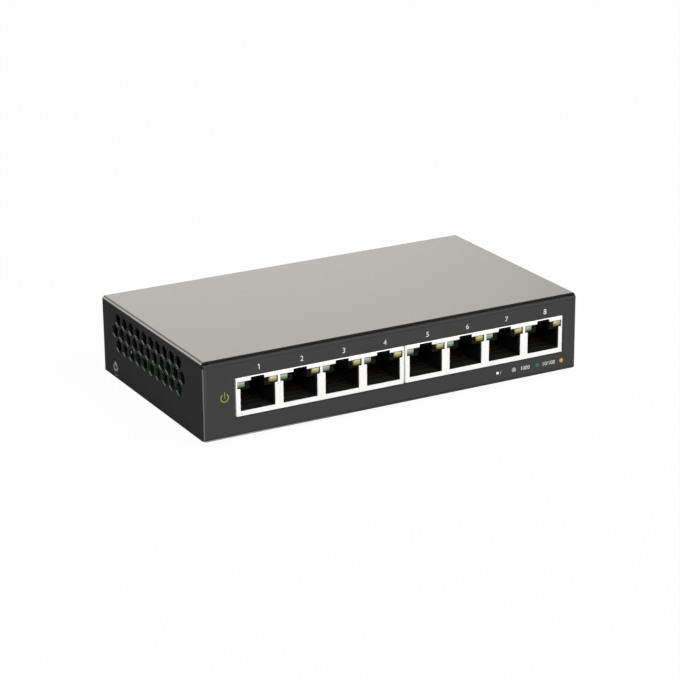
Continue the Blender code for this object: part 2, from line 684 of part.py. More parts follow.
def make_small_parts(frame):
    """Memory, crystal, inductor and capacitors between the chip and the rear panel."""
    flash = block(FLASH)
    round_edges(flash, CHIP_EDGE, lambda co: co.z > 0.9 * FLASH[2], 1)
    spot = (FLASH_OFFSET, CHIP_Y, PART_BASE)
    place("flash_memory", make_mesh("flash_memory", flash), "chip_epoxy", spot, frame)

    can = rounded_outline((0, 0), CRYSTAL[0], CRYSTAL[1], CRYSTAL[1] / 2 - CHIP_EDGE)
    crystal = make_mesh("crystal", prism(bmesh.new(), can, 2, 0, CRYSTAL[2]))
    place("crystal", crystal, "aluminium", (CRYSTAL_OFFSET, CHIP_Y, PART_BASE), frame)

    core = rounded_outline((0, 0), INDUCTOR[0], INDUCTOR[1], INDUCTOR_CORNER, 2)
    inductor = make_mesh("power_inductor", prism(bmesh.new(), core, 2, 0, INDUCTOR[2]))
    place("power_inductor", inductor, "ferrite", (INDUCTOR_OFFSET, CHIP_Y, PART_BASE), frame)

    radius, height = CAPACITOR_RADIUS, CAPACITOR_HEIGHT
    groove = radius * 0.9
    profile = [(0, 0), (groove, 0), (radius, height * 0.05), (radius, height * 0.12), (groove, height * 0.16),
               (radius, height * 0.2), (radius, height * 0.97), (groove, height), (0, height)]
    capacitor = make_mesh("capacitor", turned(profile, 16))
    for index in range(2):
        spot = (CAPACITOR_OFFSET + index * CAPACITOR_PITCH, CHIP_Y, PART_BASE)
        place(f"capacitor_{index + 1}", capacitor, "capacitor_sleeve", spot, frame)


def make_inlet(frame):
    """DC inlet: block on the board, round nose through the rear panel, bore and centre pin."""
    x, z = inlet_axis()
    low = (x - INLET[0] / 2, INLET_SHOULDER - INLET[1], PART_BASE)
    high = (x + INLET[0] / 2, INLET_SHOULDER, PART_BASE + INLET[2])
    inlet = place("power_inlet", make_mesh("power_inlet", box(bmesh.new(), low, high)), "black_plastic")
    nose = prism(bmesh.new(), circle((x, z), INLET_NOSE), 1, INLET_SHOULDER - INLET_NOSE, INLET_FACE)
    add(inlet, "inlet_nose_form", nose)
    floor = INLET_FACE - INLET_BORE_DEPTH
    bore = prism(bmesh.new(), circle((x, z), INLET_BORE), 1, floor, INLET_FACE + PLAY)
    cut(inlet, "inlet_bore_cutter", bore)
    place("power_inlet", settle(inlet), "black_plastic", parent=frame)

    length = INLET_BORE_DEPTH * 0.86
    neck = length - INLET_PIN * 0.6
    profile = [(0, 0), (INLET_PIN, 0), (INLET_PIN, neck), (INLET_PIN * 0.6, length), (0, length)]
    pin = turned(profile, 12)
    pin.transform(Matrix.Rotation(math.radians(-90), 4, "X"))
    place("power_inlet_pin", make_mesh("power_inlet_pin", pin), "plated_steel", (x, floor + SEAT, z), frame)


def make_reset(frame):
    """Right-angle reset switch behind a pinhole; its plunger slides along Y."""
    x, z = reset_axis()
    low = (x - RESET_BODY[0] / 2, RESET_FACE - RESET_BODY[1], PART_BASE)
    high = (x + RESET_BODY[0] / 2, RESET_FACE, PART_BASE + RESET_BODY[2])
    body = place("reset_switch", make_mesh("reset_switch", box(bmesh.new(), low, high)), "black_plastic")
    seat_y = RESET_FACE - RESET_SINK
    floor = seat_y - RESET_TRAVEL - PLAY
    bore = prism(bmesh.new(), circle((x, z), RESET_RADIUS + PLAY, 16), 1, floor, RESET_FACE + PLAY)
    cut(body, "reset_bore_cutter", bore)
    place("reset_switch", settle(body), "black_plastic", parent=frame)

    slide = bpy.data.objects.new("reset_slide_axis", None)
    slide.location = (x, seat_y, z)
    bpy.context.collection.objects.link(slide)
    length = RESET_SINK + RESET_REACH
    tip = RESET_RADIUS * 0.75
    shoulder = length - RESET_RADIUS + tip
    profile = [(0, 0), (RESET_RADIUS, 0), (RESET_RADIUS, shoulder), (tip, length), (0, length)]
    plunger = turned(profile, 16)
    plunger.transform(Matrix.Rotation(math.radians(-90), 4, "X"))
    place("reset_plunger", make_mesh("reset_plunger", plunger), "black_plastic", parent=slide)


def screw_mesh(name, profile):
    """Screw turned about Z, with a cross recess in the face that its profile ends on."""
    screw = place(name, make_mesh(name, turned(profile)), "screw_steel")
    face = profile[-1][1]
    cross = prism(bmesh.new(), cross_outline(), 2, face - CROSS_DEPTH, face + CROSS_DEPTH)
    cut(screw, f"{name}_cross", cross)
    return settle(screw)


def make_board_screws(frame):
    """Domed screws through the board into the tray's standoffs, seated at z = 0 of their profile."""
    length = STANDOFF + BOARD - SEAT
    head, dome = BOARD_SCREW_HEAD, BOARD_SCREW_DOME
    profile = [(0, -length), (SCREW_SHANK, -length), (SCREW_SHANK, 0), (head, 0), (head, dome * 0.3),
               (head * 0.8, dome * 0.78), (head * 0.45, dome), (0, dome)]
    mesh = screw_mesh("board_screw", profile)
    for index, (x, y) in enumerate(standoff_places()):
        place(f"board_screw_{index + 1}", mesh, "screw_steel", (x, y, PART_BASE), frame)


def make_cover_screws(frame):
    """Countersunk screws through the cover's sides into the tray's side walls."""
    head, length = COVER_SCREW_HEAD, COVER_SCREW_LENGTH
    profile = [(0, -length), (SCREW_SHANK, -length), (SCREW_SHANK, -SHEET), (head - SHEET, -SHEET),
               (head, 0), (0, 0)]
    mesh = screw_mesh("cover_screw", profile)
    for side, label in ((-1, "left"), (1, "right")):
        screw = place(f"cover_screw_{label}", mesh, "screw_steel", parent=frame)
        screw.matrix_local = cover_screw_place(side)


def make_feet(frame):
    radius, height, edge = FOOT_RADIUS, FOOT_HEIGHT, FOOT_EDGE
    profile = [(0, 0), *arc((radius - edge, edge), edge, -90, 0, 3), (radius, height), (0, height)]
    mesh = make_mesh("foot", turned(profile))
    for side, across in ((-1, "left"), (1, "right")):
        for end, along in ((-1, "front"), (1, "rear")):
            spot = (side * (CASE_HALF - FOOT_INSET), end * (CASE_DEPTH / 2 - FOOT_INSET), 0)
            place(f"foot_{along}_{across}", mesh, "rubber", spot, frame)


def main():
    clear_scene()
    frame = bpy.data.objects.new("switch_frame", None)
    bpy.context.collection.objects.link(frame)
    make_chassis(frame)
    make_cover(frame)
    make_jacks(frame)
    make_board(frame)
    make_transformers(frame)
    make_chip_and_sink(frame)
    make_small_parts(frame)
    make_inlet(frame)
    make_reset(frame)
    make_board_screws(frame)
    make_cover_screws(frame)
    make_feet(frame)


main()
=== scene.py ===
import math

import bpy
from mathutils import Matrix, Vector


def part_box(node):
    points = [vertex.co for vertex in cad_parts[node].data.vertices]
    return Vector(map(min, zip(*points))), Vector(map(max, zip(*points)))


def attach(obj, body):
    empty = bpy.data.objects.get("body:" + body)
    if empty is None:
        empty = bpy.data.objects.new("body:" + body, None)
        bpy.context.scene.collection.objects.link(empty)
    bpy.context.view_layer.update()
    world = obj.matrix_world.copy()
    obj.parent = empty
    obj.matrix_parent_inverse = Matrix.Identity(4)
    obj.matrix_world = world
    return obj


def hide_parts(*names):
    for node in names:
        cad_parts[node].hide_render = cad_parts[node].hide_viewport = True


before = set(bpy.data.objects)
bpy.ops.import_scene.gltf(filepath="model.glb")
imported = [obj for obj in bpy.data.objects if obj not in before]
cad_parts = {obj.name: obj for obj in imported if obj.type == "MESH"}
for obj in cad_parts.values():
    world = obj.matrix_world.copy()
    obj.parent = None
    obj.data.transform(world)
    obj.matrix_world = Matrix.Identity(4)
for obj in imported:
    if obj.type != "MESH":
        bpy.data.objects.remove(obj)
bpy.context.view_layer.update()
print("frame loaded,", len(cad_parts), "nodes")

hundredth = 0.00001  # a hundredth of a millimetre
through = 0.2  # longer than the case is wide
steel = 0.0008  # sheet that the case is folded from

# where the solids are

coverLow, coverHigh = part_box("top_cover")
trayLow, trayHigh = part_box("chassis")
front, rear = trayLow.y, trayHigh.y
caseFloor, caseTop = coverLow.z, coverHigh.z


def middleOf(node):
    return sum(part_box(node), Vector()) / 2


portMiddles = [middleOf(f"port_contacts_{n}").x for n in range(1, 9)]


# modelling by hand, one step per function

def letGo():
    if bpy.context.object and bpy.context.object.mode != "OBJECT":
        bpy.ops.object.mode_set(mode="OBJECT")
    bpy.ops.object.select_all(action="DESELECT")


def takeUp(piece):
    letGo()
    piece.select_set(True)
    bpy.context.view_layer.objects.active = piece


def discard(piece):
    bpy.data.objects.remove(piece, do_unlink=True)


def fixPlace(name):
    piece = bpy.context.object
    piece.name = name
    piece.data.name = name
    bpy.ops.object.transform_apply(location=True, rotation=True, scale=True)
    return piece


def block(name, low, high):
    letGo()
    bpy.ops.mesh.primitive_cube_add(size=1, location=[(a + b) / 2 for a, b in zip(low, high)])
    bpy.context.object.scale = [b - a for a, b in zip(low, high)]
    return fixPlace(name)


def rod(name, sides, radius, length, middle, axis):
    letGo()
    turn = {"x": (math.pi / 2, 0, math.pi / 2), "y": (math.pi / 2, 0, 0), "z": (0, 0, 0)}[axis]
    bpy.ops.mesh.primitive_cylinder_add(vertices=sides, radius=radius, depth=length,
                                        location=middle, rotation=turn)
    return fixPlace(name)


def taper(name, sides, tail, mouth, length):
    # cone along X whose wide end lies at x = 0
    letGo()
    bpy.ops.mesh.primitive_cone_add(vertices=sides, radius1=tail, radius2=mouth, depth=length,
                                    location=(-length / 2, 0, 0), rotation=(0, math.pi / 2, 0))
    return fixPlace(name)


def copyAt(piece, name, shift=(0, 0, 0), turn=(0, 0, 0)):
    takeUp(piece)
    bpy.ops.object.duplicate()
    bpy.context.object.location = shift
    bpy.context.object.rotation_euler = turn
    return fixPlace(name)


def pick(piece, kind, wanted):
    takeUp(piece)
    bpy.ops.object.mode_set(mode="EDIT")
    bpy.ops.mesh.select_mode(type=kind)
    bpy.ops.mesh.select_all(action="DESELECT")
    bpy.ops.object.mode_set(mode="OBJECT")
    mesh = piece.data
    items = {"VERT": mesh.vertices, "EDGE": mesh.edges, "FACE": mesh.polygons}[kind]
    for item in items:
        corners = [item.co] if kind == "VERT" else [mesh.vertices[i].co for i in item.vertices]
        item.select = bool(wanted(sum(corners, Vector()) / len(corners)))
    bpy.ops.object.mode_set(mode="EDIT")


def foldEdges(piece, wanted, radius, steps):
    pick(piece, "EDGE", wanted)
    bpy.ops.mesh.bevel(offset=radius, segments=steps, affect="EDGES")
    letGo()


def settleWith(piece, kind, **values):
    takeUp(piece)
    modifier = piece.modifiers.new(kind, kind)
    for key, value in values.items():
        setattr(modifier, key, value)
    bpy.ops.object.modifier_apply(modifier=modifier.name)


def carve(piece, *tools, operation="DIFFERENCE"):
    for tool in tools:
        settleWith(piece, "BOOLEAN", operation=operation, solver="EXACT", object=tool)
        discard(tool)


def gather(name, pieces):
    letGo()
    for piece in pieces:
        piece.select_set(True)
    bpy.context.view_layer.objects.active = pieces[0]
    if len(pieces) > 1:
        bpy.ops.object.join()
    return fixPlace(name)


edges = dict(bevelSteps=2, bevelOver=math.radians(50), smoothUnder=math.radians(40))


def soften(piece, width):
    # breaks the sharp edges, then keeps the flats flat
    settleWith(piece, "BEVEL", width=width, segments=edges["bevelSteps"], limit_method="ANGLE",
               angle_limit=edges["bevelOver"])
    takeUp(piece)
    bpy.ops.object.shade_smooth_by_angle(angle=edges["smoothUnder"])
    settleWith(piece, "WEIGHTED_NORMAL", keep_sharp=True)


# shader maths

driftDetail, fineDetail = 3.0, 2.0


class Wire:
    def __init__(self, tree, socket):
        self.tree = tree
        self.socket = socket

    def node(self, kind, settings, inputs, output=0):
        item = self.tree.nodes.new("ShaderNode" + kind)
        for key, value in settings.items():
            setattr(item, key, value)
        for key, value in inputs.items():
            if isinstance(value, Wire):
                self.tree.links.new(value.socket, item.inputs[key])
            else:
                item.inputs[key].default_value = value
        return Wire(self.tree, item.outputs[output])

    def math(self, operation, first, second):
        return self.node("Math", {"operation": operation}, {0: first, 1: second})

    def __add__(self, other):
        return self.math("ADD", self, other)

    def __sub__(self, other):
        return self.math("SUBTRACT", self, other)

    def __rsub__(self, other):
        return self.math("SUBTRACT", other, self)

    def __mul__(self, other):
        return self.math("MULTIPLY", self, other)

    __radd__ = __add__
    __rmul__ = __mul__

    def size(self):
        return self.math("ABSOLUTE", self, 0)

    def larger(self, other):
        return self.math("MAXIMUM", self, other)

    def axis(self, number):
        return self.node("SeparateXYZ", {}, {0: self}, number)

    def grain(self, size, detail=fineDetail, stretch=(1, 1, 1)):
        spread = self.node("Mapping", {}, {"Vector": self, "Scale": stretch})
        return self.node("TexNoise", {}, {"Vector": spread, "Scale": 1 / size, "Detail": detail})

    def relief(self, strength, size):
        # a quarter as deep as the grain is wide
        return self.node("Bump", {}, {"Strength": strength, "Distance": size / 4, "Height": self})

    def blendColours(self, dark, light):
        ends = [end if isinstance(end, Wire) else (*end, 1) for end in (dark, light)]
        return self.node("Mix", {"data_type": "RGBA"}, {"Factor": self, 6: ends[0], 7: ends[1]}, 2)

    def ease(self, start, stop):
        # 0 up to start, 1 from stop on
        return self.node("MapRange", {}, {"Value": self, "From Min": start, "From Max": stop})

    def within(self, start, stop, blur):
        return self.ease(start, start + blur) * self.ease(stop, stop - blur)


def startFinish(name, **fixed):
    material = bpy.data.materials.new(name)
    material.use_nodes = True
    tree = material.node_tree
    shader = tree.nodes["Principled BSDF"]
    for key, value in fixed.items():
        shader.inputs[key.replace("_", " ")].default_value = value
    place = Wire(tree, tree.nodes.new("ShaderNodeTexCoord").outputs["Object"])
    return material, shader, place


def feed(shader, **wires):
    for key, wire in wires.items():
        wire.tree.links.new(wire.socket, shader.inputs[key.replace("_", " ")])


def surface(name, look):
    # one recipe for the mouldings, metals and inks: tone drift, uneven gloss and a fine relief
    material, shader, place = startFinish(name, **look.get("fixed", {}))
    drift = place.grain(look["driftSize"], driftDetail)
    fine = place.grain(look["grainSize"], fineDetail, look.get("stretch", (1, 1, 1)))
    low, high = look["gloss"]
    feed(shader, Base_Color=drift.blendColours(look["dark"], look["light"]),
         Roughness=low + (high - low) * fine, Normal=fine.relief(look["relief"], look["grainSize"]))
    return material


def inkLook(dark, light):
    return dict(dark=dark, light=light, driftSize=0.001, grainSize=0.0002, gloss=(0.5, 0.6),
                relief=0.03)


looks = {
    "tinPlate": dict(dark=(0.86, 0.855, 0.84), light=(0.93, 0.925, 0.91), driftSize=0.004,
                     grainSize=0.0004, gloss=(0.30, 0.48), relief=0.06, stretch=(1, 1, 0.08),
                     fixed=dict(Metallic=0.2)),
    "mouldedBlack": dict(dark=(0.0056, 0.0055, 0.0052), light=(0.0085, 0.0082, 0.0078), driftSize=0.006,
                         grainSize=0.0003, gloss=(0.5, 0.65), relief=0.08,
                         fixed=dict(Specular_IOR_Level=0.03)),
    "boardGreen": dict(dark=(0.010, 0.052, 0.024), light=(0.015, 0.075, 0.034), driftSize=0.0022,
                       grainSize=0.0004, gloss=(0.28, 0.4), relief=0.10, stretch=(1, 0.15, 1)),
    "chipEpoxy": dict(dark=(0.014, 0.014, 0.014), light=(0.022, 0.022, 0.022), driftSize=0.004,
                      grainSize=0.00025, gloss=(0.5, 0.65), relief=0.15),
    "extrudedAluminium": dict(dark=(0.62, 0.63, 0.64), light=(0.72, 0.73, 0.74), driftSize=0.006,
                              grainSize=0.0004, gloss=(0.3, 0.45), relief=0.08, stretch=(1, 0.05, 1),
                              fixed=dict(Metallic=1.0)),
    "ferriteGrey": dict(dark=(0.05, 0.05, 0.052), light=(0.09, 0.09, 0.094), driftSize=0.001,
                        grainSize=0.0003, gloss=(0.6, 0.8), relief=0.2),
    "sleeveBlue": dict(dark=(0.012, 0.018, 0.045), light=(0.018, 0.026, 0.06), driftSize=0.005,
                       grainSize=0.0008, gloss=(0.25, 0.35), relief=0.03),
    "zincScrew": dict(dark=(0.147, 0.147, 0.150), light=(0.226, 0.226, 0.232), driftSize=0.0015,
                      grainSize=0.0003, gloss=(0.3, 0.45), relief=0.06, fixed=dict(Metallic=0.9)),
    "footRubber": dict(dark=(0.012, 0.012, 0.012), light=(0.02, 0.02, 0.02), driftSize=0.002,
                       grainSize=0.0003, gloss=(0.75, 0.9), relief=0.2),
    "whiteInk": inkLook((0.80, 0.80, 0.79), (0.86, 0.86, 0.85)),
    "limeInk": inkLook((0.186, 0.232, 0.041), (0.237, 0.294, 0.056)),
    "greenInk": inkLook((0.0136, 0.113, 0.062), (0.0226, 0.147, 0.079)),
    "amberInk": inkLook((0.48, 0.26, 0.055), (0.57, 0.33, 0.066)),
}
finishes = {name: surface(name, look) for name, look in looks.items()}

# honeycomb in each side of the cover; its middle lies this far from the front panel and the top
vents = dict(pitch=0.00545, flat=0.0044, setback=0.0435, drop=0.0101, rows=(10, 11, 10))
ventRow = vents["pitch"] * math.sqrt(3) / 2

# dark satin paint, with painted highlights on the vents' lower walls and along the folds, and painted
# shade and dull bands near the folds, measured inward from a side, back from the panel, down from the
# top, up from the floor
paint = dict(dark=(0.0380, 0.0376, 0.0372), light=(0.0430, 0.0427, 0.0421), shade=(0.018, 0.018, 0.018),
             driftSize=0.030, grainSize=0.00045, gloss=(0.27, 0.35), relief=0.05, specular=0.4)
# the painted highlight colour, where painted highlights and painted shade fall, and the gloss there
paintedLightAndGloss = dict(blur=0.0001, paintedHighlight=(0.80, 0.785, 0.755), highlightGloss=0.42, highlightMetal=0.5, patchy=0.4,
            ventReach=(0.031, 0.0075), ventWall=(0.26, 0.22),
            stripInward=(0.000456, 0.000336), stripDown=(0.000828, 0.000768), stripShare=0.66,
            creaseInward=(0.00054, 0.00096), creaseDown=(0.0006, 0.00048), creaseShare=0.4,
            panelFold=0.00115, panelTop=0.0022, dullGloss=0.9, lipGloss=0.15,
            bendBand=(0.0003, 0.0010), bendReach=0.002, bendShare=0.34,
            soleBand=(-0.0001, 0.0006), soleFade=(-0.015, -0.055), soleShare=0.45,
            lineBand=(0.0006, 0.00105), lineShare=0.8)


def paintedSheet():
    material, shader, place = startFinish("satinPaint", Specular_IOR_Level=paint["specular"])
    across, along, height = [place.axis(number) for number in range(3)]
    inward, back = coverHigh.x - across.size(), along - front
    down, rise = caseTop - height, height - caseFloor
    drift = place.grain(paint["driftSize"], driftDetail)
    fine = place.grain(paint["grainSize"])
    blur = paintedLightAndGloss["blur"]

    # painted highlight on the lower walls of the vents, which face up into the light, in the outer half
    # of the sheet
    climb = (vents["drop"] - down) * (1 / ventRow) + 0.5
    lower = climb.math("FRACT", climb, 0).ease(*paintedLightAndGloss["ventWall"])
    cut = inward.within(blur / 2, steel / 2, blur / 2) * lower
    for offset, reach in zip((back - vents["setback"], down - vents["drop"]), paintedLightAndGloss["ventReach"]):
        cut = cut * offset.size().ease(reach, reach - blur)

    # a painted highlight strip and a dull crease along the cover's folds
    strip = inward.ease(*paintedLightAndGloss["stripInward"]) * down.ease(*paintedLightAndGloss["stripDown"])
    crease = inward.within(*paintedLightAndGloss["creaseInward"], blur) * down.ease(*paintedLightAndGloss["creaseDown"])

    # a painted highlight down the panel's upright folds and along one end of its sole, the bottom fold
    top = down.ease(paintedLightAndGloss["panelTop"], paintedLightAndGloss["panelTop"] - blur)
    outer = back.ease(paintedLightAndGloss["panelFold"] + blur, paintedLightAndGloss["panelFold"])
    sides = inward.ease(paintedLightAndGloss["bendReach"], paintedLightAndGloss["bendReach"] - blur) * (1 - top)
    bend = sides * back.within(*paintedLightAndGloss["bendBand"], blur)
    sole = outer * across.ease(*paintedLightAndGloss["soleFade"]) * rise.within(*paintedLightAndGloss["soleBand"], blur)
    # painted highlights on the folds, a little patchy
    foldHighlight = strip * paintedLightAndGloss["stripShare"]
    for mask, share in ((bend, paintedLightAndGloss["bendShare"]), (sole, paintedLightAndGloss["soleShare"])):
        foldHighlight = foldHighlight.larger(mask * share)
    paintedHighlight = cut.larger(foldHighlight * (1 - paintedLightAndGloss["patchy"] + paintedLightAndGloss["patchy"] * drift))

    # painted shade: the panel's upper fold, which is dull too, the cover's front edge, a line above the
    # sole
    upper = top * outer
    lip = top * (back - (coverLow.y - front)).size().ease(blur, blur / 2)
    line = outer * rise.within(*paintedLightAndGloss["lineBand"], blur)
    dim = lip.larger(upper).larger(line * paintedLightAndGloss["lineShare"])
    colour = dim.blendColours(drift.blendColours(paint["dark"], paint["light"]), paint["shade"])

    low, high = paint["gloss"]
    gloss = low + (high - low) * fine
    dull = upper.larger(crease * paintedLightAndGloss["creaseShare"])
    for mask, level in ((dull, paintedLightAndGloss["dullGloss"]), (lip, paintedLightAndGloss["lipGloss"]), (paintedHighlight, paintedLightAndGloss["highlightGloss"])):
        gloss = gloss + mask * (level - gloss)
    feed(shader, Base_Color=paintedHighlight.blendColours(colour, paintedLightAndGloss["paintedHighlight"]), Metallic=paintedHighlight * paintedLightAndGloss["highlightMetal"],
         Roughness=gloss, Normal=fine.relief(paint["relief"], paint["grainSize"]))
    return material


finishes["satinPaint"] = paintedSheet()

# spring wires in gold on a black comb bar; the gold is painted dark, as painted shade deep in the ports
contact = dict(bar=0.0014, blur=0.0001, grain=0.0004, black=(0.005, 0.005, 0.005),
               gold=((0.073, 0.047, 0.018), (0.124, 0.082, 0.030)), roughness=0.5, specular=0.1)


def contactSurface():
    material, shader, place = startFinish("contactGold", Roughness=contact["roughness"],
                                          Specular_IOR_Level=contact["specular"])
    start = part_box("port_contacts_1")[0].y + contact["bar"]
    gold = place.axis(1).ease(start, start + contact["blur"])
    tone = place.grain(contact["grain"]).blendColours(*contact["gold"])
    feed(shader, Base_Color=gold.blendColours(contact["black"], tone), Metallic=gold)
    return material


finishes["contactGold"] = contactSurface()

lens = dict(edge=0.0008, edgeSteps=6, softEdge=0.00004, grow=(0.00025, 0.0, 0.00036), outward=0.0003,
            coat=0.4, coatGloss=0.12, gloss=(0.18, 0.3), speckle=0.0006, speckleShare=0.5,
            greenLens=((0.016, 0.045, 0.018), (0.34, 0.41, 0.31)),
            amberLens=((0.062, 0.053, 0.007), (0.53, 0.49, 0.225)))


def lensSurface(name):
    # lighter above, as painted light where light falls in, and darker below, as painted shade
    material, shader, place = startFinish(name, Coat_Weight=lens["coat"],
                                          Coat_Roughness=lens["coatGloss"])
    low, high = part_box("green_light_1")
    climb = (place.axis(2) - low.z) * (1 / (high.z - low.z))
    speckle = place.grain(lens["speckle"])
    share = climb + (speckle - 0.5) * lens["speckleShare"]
    level = share.node("Clamp", {}, {"Value": share})
    flat, rough = lens["gloss"]
    feed(shader, Base_Color=level.blendColours(*lens[name]), Roughness=flat + (rough - flat) * speckle)
    return material


for name in ("greenLens", "amberLens"):
    finishes[name] = lensSurface(name)
print("finishes made:", len(finishes))


def dress(piece, finishName, slotName, *nodes):
    piece.data.materials.clear()
    piece.data.materials.append(finishes[finishName])
    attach(piece, "case")
    if nodes:
        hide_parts(*nodes)


# top cover: a U of sheet with rounded folds, honeycomb vents and screw holes

cover = dict(foldRadius=0.0012, foldSteps=8, sinkMouth=0.00307, sinkReach=0.0003, sinkSides=40,
             edge=0.00008)


def makeCover():
    shell = block("coverShell", coverLow, coverHigh)
    ends = (coverLow.y + hundredth, coverHigh.y - hundredth)
    pick(shell, "FACE", lambda p: p.z < caseFloor + hundredth or p.y < ends[0] or p.y > ends[1])
    bpy.ops.mesh.delete(type="FACE")
    foldEdges(shell, lambda p: p.z > caseTop - hundredth and abs(p.x) > coverHigh.x - hundredth,
              cover["foldRadius"], cover["foldSteps"])
    settleWith(shell, "SOLIDIFY", thickness=steel, offset=-1, use_even_offset=True)
    middle = (0, front + vents["setback"], caseTop - vents["drop"])
    vent = rod("vent", 6, vents["flat"] / math.sqrt(3), through, middle, "x")
    holes = []
    for row, count in enumerate(vents["rows"]):
        for n in range(count):
            shift = (0, (n - (count - 1) / 2) * vents["pitch"], (1 - row) * ventRow)
            holes.append(copyAt(vent, "vent", shift))
    discard(vent)
    # cones that take the flush screw heads
    reach, mouth = cover["sinkReach"], cover["sinkMouth"]
    cone = taper("sink", cover["sinkSides"], mouth - steel - reach, mouth + reach, steel + 2 * reach)
    for label, side, turn in (("left", -1, math.pi), ("right", 1, 0)):
        spot = middleOf(f"cover_screw_{label}")
        holes.append(copyAt(cone, "sink", (side * (coverHigh.x + reach), spot.y, spot.z), (0, 0, turn)))
    discard(cone)
    carve(shell, gather("coverHoles", holes))
    soften(shell, cover["edge"])
    dress(shell, "satinPaint", "painted_steel", "top_cover")


makeCover()
print("cover folded and vented")


# tray: floor, front and rear panels with their flanges, folded from one sheet

tray = dict(foldRadius=0.001, panelFold=0.00105, soleFold=0.0004, foldSteps=8, rim=0.0011, slip=0.0003,
            sideWall=0.0075, frontFlange=0.008, rearFlange=0.005, relief=0.0008, play=0.0003,
            edge=0.0001, standoffRadius=0.003, standoffHeight=0.0041, standoffSides=32,
            socket=0.00155, socketOver=0.001, socketSides=20,
            keyholeSpacing=0.072, keyholeSetback=0.046, keyholeHead=0.0037, keyholeSides=40,
            keyholeNeck=0.0019, neckFold=0.98, neckSteps=6, keyholeLength=0.0065,
            inletHole=0.0045, inletSides=48, resetHole=0.0012, screwHole=0.00155, holeSides=24,
            lockMiddle=0.00799, lockSize=(0.007, 0.003), lockCorner=0.0008, lockSteps=4)


def foldTray(half, top):
    fold, rim, floor = tray["foldRadius"], tray["rim"], caseFloor + steel
    shell = block("trayShell", (-half, front + (fold + rim) / 2, caseFloor), (half, rear, top))
    foldEdges(shell, lambda p: p.y > 0.9 * rear or (p.z < floor and abs(p.x) > 0.9 * half),
              fold, tray["foldSteps"])
    panel = block("panel", (trayLow.x, front, caseFloor), (trayHigh.x, front + rim, top))
    foldEdges(panel, lambda p: p.y < front + rim / 4 and p.z > caseFloor + hundredth,
              tray["panelFold"], tray["foldSteps"])
    inner = front + tray["panelFold"] + hundredth
    foldEdges(panel, lambda p: p.y < inner and p.z < caseFloor + hundredth,
              tray["soleFold"], tray["foldSteps"])
    carve(shell, panel, operation="UNION")
    carve(shell, block("inside", (steel - half, front + steel, floor),
                       (half - steel, rear - steel, top - steel)))
    low = (-through / 2, front + tray["frontFlange"], caseFloor + tray["sideWall"])
    high = (through / 2, rear - tray["rearFlange"], top + steel)
    carve(shell, block("middle", low, high))
    return shell


def partFolds(shell, half, top):
    fold, relief, floor = tray["foldRadius"], tray["relief"], caseFloor + steel
    # slots that part the folds
    gaps, walls = [], []
    frontEnd = front + tray["frontFlange"] + relief / 4
    rearEnd = rear - tray["rearFlange"] - relief / 4
    runs = ((front + tray["rim"] + tray["slip"], frontEnd), (rearEnd, rear - fold - tray["slip"]))
    for side in (-1, 1):
        near = sorted((side * (half - fold - relief / 2), side * (half + steel)))
        deep = sorted((side * (half - fold - relief), side * (half + steel)))
        for start, stop in runs:
            gaps.append(block("gap", (near[0], start, caseFloor - steel),
                              (near[1], stop, floor + relief)))
            gaps.append(block("gap", (deep[0], start, top - fold - relief),
                              (deep[1], stop, top + steel)))
        for middle in (frontEnd, rearEnd):
            walls.append(block("gap", (near[0], middle - relief / 2, caseFloor - steel),
                               (near[1], middle + relief / 2, caseFloor + tray["sideWall"] + steel)))
    carve(shell, gather("gaps", gaps), gather("walls", walls))


def raiseStandoffs(shell):
    # under the board screws
    posts, sockets = [], []
    floor = caseFloor + steel
    height = tray["standoffHeight"] + steel / 2
    depth = tray["standoffHeight"] + tray["socketOver"]
    for n in range(1, 5):
        spot = middleOf(f"board_screw_{n}")
        posts.append(rod("post", tray["standoffSides"], tray["standoffRadius"], height,
                         (spot.x, spot.y, floor - steel / 2 + height / 2), "z"))
        sockets.append(rod("socket", tray["socketSides"], tray["socket"], depth,
                           (spot.x, spot.y, floor + depth / 2), "z"))
    carve(shell, gather("posts", posts), operation="UNION")
    carve(shell, gather("sockets", sockets))


